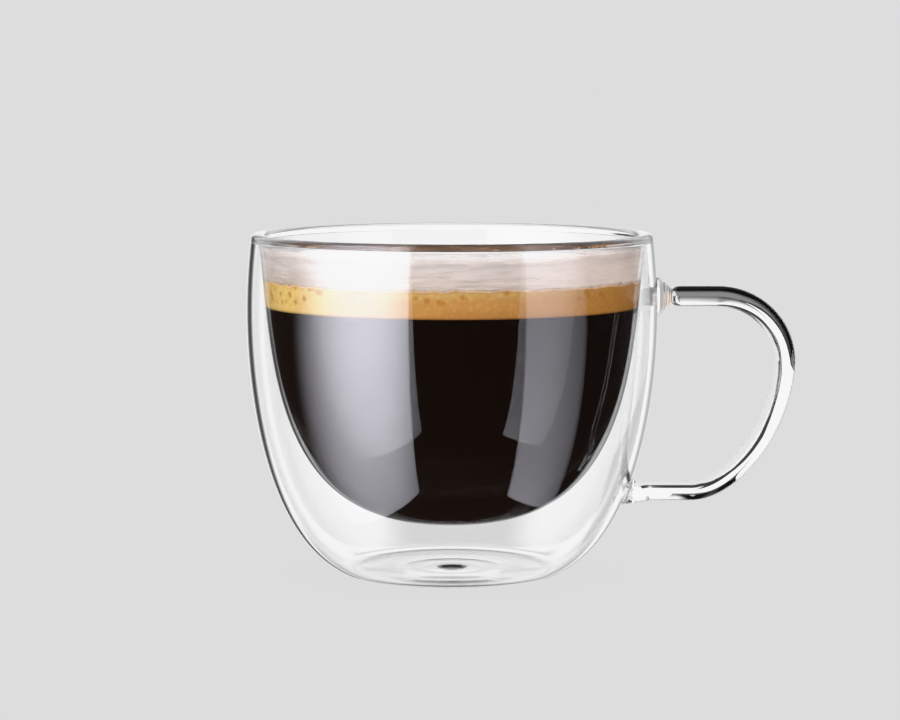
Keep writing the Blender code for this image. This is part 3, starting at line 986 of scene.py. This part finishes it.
def seen_in_rod(put):
    """1 where a ray has only gone into the solid rod and out of it again."""
    return put("LESS_THAN", put("LightPath", out="Transmission Depth"), 2.5)


def glow_card(name, rows, shade):
    """A card of the studio that is seen only through the handle rod. rows are pairs of points on its
    two long edges. shade builds its brightness and how much of it is seen."""
    made, _, put = new_material(name)
    brightness, cover = shade(put)
    glow = put("Emission", {"Strength": brightness})
    front = put("SUBTRACT", 1.0, put("NewGeometry", out="Backfacing"))
    unmirrored = put("LESS_THAN", put("LightPath", out="Glossy Depth"), 0.5)
    seen = product(put, front, cover, seen_in_rod(put), unmirrored)
    clear = put("BsdfTransparent", "#FFFFFF")
    show(made, put("MixShader", seen, clear, glow))
    faces = [(2 * i, 2 * i + 1, 2 * i + 3, 2 * i + 2) for i in range(len(rows) - 1)]
    mesh = mesh_of(name, [point for row in rows for point in row], faces)
    across = mesh.uv_layers.new(name="across")
    for loop in mesh.loops:
        across.data[loop.index].uv = (loop.vertex_index % 2, loop.vertex_index // 2 / (len(rows) - 1))
    card = linked(name, dressed(mesh, made))
    hide_from(card, "camera", "diffuse", "glossy", "shadow")


def across_card(put):
    """0 on a card's first long edge and 1 on its second one."""
    return put("SeparateXYZ", put("UVMap", uv_map="across"), out="X")


# Edges of the level card, each point a Y and an X, and of the upright one on its far edge
LEVEL_CARD_Z = 0.047
LEVEL_CARD_LEFT = ((-0.004, 0.0535), (0.37, 0.0787))
LEVEL_CARD_RIGHT = ((-0.004, 0.0712), (0.03, 0.0727), (0.05, 0.0735), (0.07, 0.0752), (0.10, 0.0785),
                    (0.15, 0.0850), (0.20, 0.0905), (0.37, 0.1120))
UPRIGHT_CARD_TOP_Z = 0.210
UPRIGHT_CARD_RIGHT = 0.160

# Edges of the low card, each row a Y and the two X
LOW_CARD_Z = 0.030
LOW_CARD_EDGES = ((0.010, 0.0530, 0.0592), (0.024, 0.0535, 0.0592), (0.034, 0.0541, 0.0592),
                  (0.051, 0.0548, 0.0597), (0.078, 0.0563, 0.0625), (0.160, 0.0620, 0.0700))

# Edges of the card behind the bend, each row the X and Z of its outer and its inner point
BEND_CARD_Y = 0.05
BEND_CARD_EDGES = (((0.1078, 0.0442), (0.0945, 0.0442)), ((0.1023, 0.0389), (0.0912, 0.0403)),
                   ((0.0996, 0.0348), (0.0888, 0.0371)), ((0.0958, 0.0313), (0.0850, 0.0344)),
                   ((0.0920, 0.0275), (0.0805, 0.0318)), ((0.0888, 0.0237), (0.0767, 0.0299)),
                   ((0.0845, 0.0215), (0.0722, 0.0290)), ((0.0815, 0.0184), (0.0710, 0.0260)),
                   ((0.0793, 0.0144), (0.0701, 0.0228)), ((0.0765, 0.0115), (0.0698, 0.0189)),
                   ((0.0753, 0.0070), (0.0695, 0.0143)), ((0.0737, 0.0012), (0.0688, 0.0103)))


def level_shade(put):
    grey = put("Smooth", place_of(put, "Y"), 0.034, 0.060, 0.004, 0.26)
    edge = put("Smooth", across_card(put), 0.80, 0.88, 1.0, 0.15)
    return product(put, grey, edge), 1.0


def upright_shade(put):
    across = place_of(put, "X")
    rising = put("Even", place_of(put, "Z"), 0.055, 0.200, 0.19, 1.18)
    off = put("DIVIDE", put("SUBTRACT", across, 0.105), 0.013)
    dip = put("EXPONENT", product(put, off, off, -1.0))
    level = product(put, rising, put("MULTIPLY_ADD", dip, -0.6, 1.0))
    return put("Blend", put("Smooth", across, 0.115, 0.155), level, 1.1), 1.0


def low_shade(put):
    grey = put("Even", place_of(put, "Y"), 0.048, 0.160, 0.006, 0.40)
    return put("MAXIMUM", grey, 0.006), hump(put, across_card(put), 0.15, 0.62, 0.95, 1.0)


def bend_shade(put):
    return 0.05, hump(put, across_card(put), 0.0, 0.28, 0.78, 1.0)


def make_cards():
    """The small cards that draw the dark and grey stripes in the handle rod: a level one and an
    upright one for its upper run, one behind its bend and one over its lower run."""
    (near_y, near_x), (far_y, far_x) = LEVEL_CARD_LEFT
    rows = []
    for y, x in LEVEL_CARD_RIGHT:
        left = near_x + (far_x - near_x) * (y - near_y) / (far_y - near_y)
        rows.append(((left, y, LEVEL_CARD_Z), (x, y, LEVEL_CARD_Z)))
    glow_card("level_card", rows, level_shade)
    rows = [((far_x, far_y, z), (UPRIGHT_CARD_RIGHT, far_y, z))
            for z in (LEVEL_CARD_Z, UPRIGHT_CARD_TOP_Z)]
    glow_card("upright_card", rows, upright_shade)
    rows = [((left, y, LOW_CARD_Z), (right, y, LOW_CARD_Z)) for y, left, right in LOW_CARD_EDGES[::-1]]
    glow_card("low_card", rows, low_shade)
    rows = [((a[0], BEND_CARD_Y, a[1]), (b[0], BEND_CARD_Y, b[1])) for a, b in BEND_CARD_EDGES]
    glow_card("bend_card", rows, bend_shade)


# The studio's walls and panels: directions in degrees, and how bright each is. The white panel's
# right edge is the sum of three steps, each from and to an elevation and from and to an azimuth
PANEL_RIGHT_STEPS = ((-8.6, -5.0, 6.8, 21.5), (-17.0, -9.0, 3.2, 0.0), (-5.0, 5.0, 0.0, 5.5))
PANEL_LEFT = -30.0
PANEL_MIDDLE = 5.0
PANEL_ABOVE = 45.0
PANEL_BELOW = 28.0
WHITE_PANEL = 1.15
PALE_WALL = 0.85
TABLE_EDGE = 0.32
UNDER_TABLE = 0.15
DARK_CORNER = 0.08
DARK_FRAME = 0.05
RING_MIDDLE = (-2.5, -7.5)
RING_DARK = 0.02
ROOM_MIRRORED = 0.008
ROOM_ON_SKIN = 0.01


def light_behind(put, azimuth, elevation, in_rod):
    """What is seen straight through the glass: a white panel and paler walls beyond. In the solid rod
    the panel has a dark frame on its right side and round its lower right corner. Azimuth is 0
    straight behind the cup and grows towards +X, and elevation grows upwards, both in degrees."""
    right, *more = [put("Smooth", elevation, *step) for step in PANEL_RIGHT_STEPS]
    for step in more:
        right = put("ADD", right, step)
    reach = put("Blend", put("LESS_THAN", azimuth, 0.0), right, PANEL_LEFT)
    across = put("DIVIDE", azimuth, reach)
    above = put("DIVIDE", put("SUBTRACT", elevation, PANEL_MIDDLE), PANEL_ABOVE)
    below = put("DIVIDE", put("SUBTRACT", PANEL_MIDDLE, elevation), PANEL_BELOW)
    round_top = length(put, across, put("MAXIMUM", 0.0, above))
    share = put("MAXIMUM", round_top, put("MAXIMUM", 0.0, below))
    panel = put("Smooth", share, 0.95, 1.05, WHITE_PANEL, PALE_WALL)

    # A table, its edge and what is under it, which only the thin walls show
    off = put("ABSOLUTE", put("SUBTRACT", azimuth, 0.2))
    half_width = put("Smooth", elevation, -10.4, -11.0, 1.9, 4.0)
    table = product(put, put("Smooth", put("SUBTRACT", half_width, off), -0.9, 0.7),
                    put("Smooth", elevation, -8.5, -9.0))
    edge = product(put, put("Smooth", elevation, -16.0, -20.0), put("Smooth", off, 3.5, 7.0, 1.0, 0.0))
    under = hump(put, elevation, -50.0, -42.0, -31.0, -26.0)
    out_of_rod = put("SUBTRACT", 1.0, in_rod)
    for shape, level in ((table, put("Smooth", elevation, -11.2, -12.0, 0.78, 1.12)),
                         (edge, TABLE_EDGE), (under, UNDER_TABLE)):
        panel = put("Blend", product(put, shape, out_of_rod), panel, level)

    # The dark corner at the upper right, and the frame in the rod
    corner = product(put, put("Smooth", elevation, 22.0, 32.0), put("Smooth", azimuth, 20.0, 32.0))
    panel = put("Blend", corner, panel, DARK_CORNER)
    frame_end = put("Smooth", elevation, 0.0, 25.0, 4.4, 10.0)
    dark = product(put, hump(put, share, 0.69, 0.83, 1.15, 1.29),
                   put("Smooth", azimuth, 3.2, frame_end), in_rod)
    return put("Blend", dark, panel, DARK_FRAME)


def dark_ring(put, azimuth, elevation):
    """A dark ring round the panel that draws the cup's outline, strongest on the left and open at
    the top of its middle."""
    side = put("SUBTRACT", azimuth, RING_MIDDLE[0])
    height = put("SUBTRACT", elevation, RING_MIDDLE[1])
    height = product(put, height, put("Smooth", height, -6.0, 0.0, 2.0, 1.0))
    away = length(put, side, height)
    open_above = product(put, put("Smooth", elevation, -3.0, 3.0),
                         put("Smooth", put("ABSOLUTE", side), 6.0, 13.0, 1.0, 0.0))
    return product(put, hump(put, away, 5.0, 17.0, 22.0, 32.0),
                   put("Smooth", azimuth, -6.0, 2.0, 0.97, 0.62),
                   put("MULTIPLY_ADD", open_above, -0.70, 1.0))


def light_mirrored(put, azimuth, elevation):
    """What is seen by mirroring inside the glass and in the drink: the panel within the dark ring,
    and a dark room beyond."""
    room = product(put, hump(put, azimuth, -32.5, -29.5, 29.5, 32.5),
                   put("Smooth", elevation, -26.0, -18.0))
    bounces = put("LightPath", out="Glossy Depth")
    white = put("Smooth", bounces, 1.2, 3.0, 1.35, 0.25)
    lit = put("Blend", room, ROOM_MIRRORED, white)
    beside = product(put, hump(put, elevation, -15.0, -9.0, 15.0, 21.0),
                     put("Smooth", azimuth, 5.0, 12.0), put("Smooth", bounces, 1.5, 2.5))
    lit = put("Blend", beside, lit, 0.9)
    return put("Blend", dark_ring(put, azimuth, elevation), lit, RING_DARK)


def light_on_skin(put, azimuth, elevation):
    """What the outer skin mirrors: white behind the cup with the same dark ring in it, dark towards
    the camera, above and below."""
    lit = product(put, put("Smooth", put("ABSOLUTE", azimuth), 50.0, 62.0, 1.0, 0.0),
                  put("Smooth", elevation, -60.0, -40.0),
                  put("Smooth", elevation, 20.0, 40.0, 1.0, 0.15))
    level = put("Blend", lit, ROOM_ON_SKIN, 1.2)
    return put("Blend", dark_ring(put, azimuth, elevation), level, RING_DARK)


def light_on_drink(put, azimuth, elevation):
    """What lights the foam and the drink: strong panels all round, stronger on the left, under a dim
    ceiling."""
    left = put("MULTIPLY_ADD", hump(put, azimuth, -170.0, -110.0, -90.0, -30.0), 0.45, 1.0)
    return product(put, put("Smooth", elevation, 12.0, 40.0, 7.5, 0.5), left)


def make_world(scene):
    """An even backdrop for the camera, and round it the panels of a glass studio."""
    world = bpy.data.worlds.new("studio")
    scene.world = world
    world.use_nodes = True
    world.node_tree.nodes.clear()
    put = partial(add, world.node_tree)
    axes = put("SeparateXYZ", put("TexCoord", out="Generated")).node.outputs
    azimuth = put("DEGREES", put("ARCTAN2", axes["X"], axes["Y"]))
    elevation = put("DEGREES", put("ARCSINE", axes["Z"]))
    path = put("LightPath").node.outputs
    mirrored = put("MINIMUM", path["Glossy Depth"], 1.0)
    through = put("Blend", mirrored, light_behind(put, azimuth, elevation, seen_in_rod(put)),
                  light_mirrored(put, azimuth, elevation))
    light = put("Blend", path["Is Glossy Ray"], light_on_drink(put, azimuth, elevation),
                light_on_skin(put, azimuth, elevation))
    light = put("Blend", path["Is Transmission Ray"], light, through)
    light = put("Blend", path["Is Camera Ray"], light, BACKDROP[0])
    put("OutputWorld", put("Background", "#FFFFFF", light))


LAMP_TINT = (0.98, 0.97, 1.07, 1.0)
SOFTBOX_DISTANCE = 0.6
SOFTBOX_BOTTOM = -0.49
SOFTBOX_TOP = 0.70
SOFTBOX_SLOPE_END = 0.42


def softbox(name, near, far, radiance, fades, slope):
    """A tall softbox between two directions, in degrees from the camera's side towards +X. Its
    brightness across its width rises over the first two fades and falls over the last two. It
    changes upwards by the two values of slope."""
    ends = []
    for angle in (near, far):
        turn = math.radians(angle)
        ends.append(Vector((math.sin(turn), -math.cos(turn), 0.0)) * SOFTBOX_DISTANCE)
    middle = (ends[0] + ends[1]) / 2.0
    middle.z = (SOFTBOX_BOTTOM + SOFTBOX_TOP) / 2.0
    light = bpy.data.lights.new(name, "AREA")
    light.shape = "RECTANGLE"
    light.size = (ends[1] - ends[0]).length
    light.size_y = SOFTBOX_TOP - SOFTBOX_BOTTOM
    light.use_nodes = True
    light.energy = 1.0
    light.node_tree.nodes.clear()
    put = partial(add, light.node_tree)
    axes = put("SeparateXYZ", put("NewGeometry", out="Parametric")).node.outputs
    across = axes["X"]
    if far < near:
        across = put("SUBTRACT", 1.0, across)
    upwards = put("Even", axes["Y"], 0.0, SOFTBOX_SLOPE_END, *slope)

    # Blender spreads a lamp's strength over four times its area
    strength = radiance * light.size * light.size_y * 4.0
    strength = product(put, hump(put, across, *fades), upwards, strength)
    put("OutputLight", put("Emission", LAMP_TINT, strength))
    lamp = linked(name, light)
    lamp.location = middle
    lamp.rotation_mode = "QUATERNION"
    lamp.rotation_quaternion = Vector((-middle.x, -middle.y, 0.0)).to_track_quat("-Z", "Y")
    hide_from(lamp, "camera")


# The tones that the picture shows for those given: true up to a light grey, then rolled off
BRIGHTEST = 2.0
TONES = ((0.76, 0.76), (0.88, 0.865), (1.05, 0.925), (1.40, 0.947))
WHITEST = 0.95


def whites_held(view):
    """Keeps tones as they are up to a light grey, and rolls the brighter ones off to a soft white."""
    view.use_curve_mapping = True
    mapping = view.curve_mapping
    mapping.white_level = (BRIGHTEST, BRIGHTEST, BRIGHTEST)
    mapping.extend = "HORIZONTAL"
    curve = mapping.curves[3]
    curve.points[0].location = (0.0, 0.0)
    curve.points[1].location = (1.0, WHITEST)
    for given, shown in TONES:
        curve.points.new(given / BRIGHTEST, shown)
    for point in curve.points:
        point.handle_type = "VECTOR"
    mapping.update()


CAMERA_PLACE = (-0.00045, -0.700, 0.1186)
CAMERA_DOWN = 5.63
CAMERA_LENS = 120.84
CAMERA_FILM = 36.0


def make_camera(scene):
    data = bpy.data.cameras.new("camera")
    data.sensor_width = CAMERA_FILM
    data.lens = CAMERA_LENS
    data.clip_start = 0.01
    data.clip_end = 100.0
    camera = linked("camera", data)
    camera.location = CAMERA_PLACE
    camera.rotation_euler = (math.radians(90.0 - CAMERA_DOWN), 0.0, 0.0)
    scene.camera = camera


def set_light_limits(scene):
    """Lets light go on through as many walls as the cup has, and keeps its tones."""
    scene.view_settings.view_transform = "Standard"
    scene.view_settings.look = "None"
    whites_held(scene.view_settings)
    scene.cycles.use_denoising = True
    scene.cycles.max_bounces = 40
    scene.cycles.transmission_bounces = 32
    scene.cycles.glossy_bounces = 12
    scene.cycles.transparent_max_bounces = 32
    scene.cycles.caustics_refractive = False
    scene.cycles.caustics_reflective = False


STEPS = (CUP_OT_blow_glass, CUP_OT_pour_coffee, CUP_OT_lay_crema, CUP_OT_scatter_bubbles,
         CUP_OT_leave_haze, CUP_OT_set_stage)
SETTINGS = {"coffee_glass": CupSettings, "coffee_drink": DrinkSettings, "coffee_stage": StageSettings}


class CUP_PT_panel(bpy.types.Panel):
    bl_idname = "CUP_PT_panel"
    bl_label = "Glass Cup of Coffee"
    bl_space_type = "VIEW_3D"
    bl_region_type = "UI"
    bl_category = "Coffee"

    def draw(self, context):
        for name, group in SETTINGS.items():
            box = self.layout.box()
            for prop in group.__annotations__:
                box.prop(getattr(context.scene, name), prop)
        for step in STEPS:
            self.layout.operator(step.bl_idname)


def register():
    for group in SETTINGS.values():
        bpy.utils.register_class(group)
    for name, group in SETTINGS.items():
        setattr(bpy.types.Scene, name, PointerProperty(type=group))
    for step in (*STEPS, CUP_PT_panel):
        bpy.utils.register_class(step)


def unregister():
    for step in reversed((*STEPS, CUP_PT_panel)):
        bpy.utils.unregister_class(step)
    for name, group in SETTINGS.items():
        delattr(bpy.types.Scene, name)
        bpy.utils.unregister_class(group)


def main():
    register()
    bpy.ops.coffee_cup.blow_glass()
    bpy.ops.coffee_cup.pour_coffee()
    bpy.ops.coffee_cup.lay_crema()
    bpy.ops.coffee_cup.scatter_bubbles()
    bpy.ops.coffee_cup.leave_haze()
    bpy.ops.coffee_cup.set_stage()


if __name__ == "__main__":
    main()
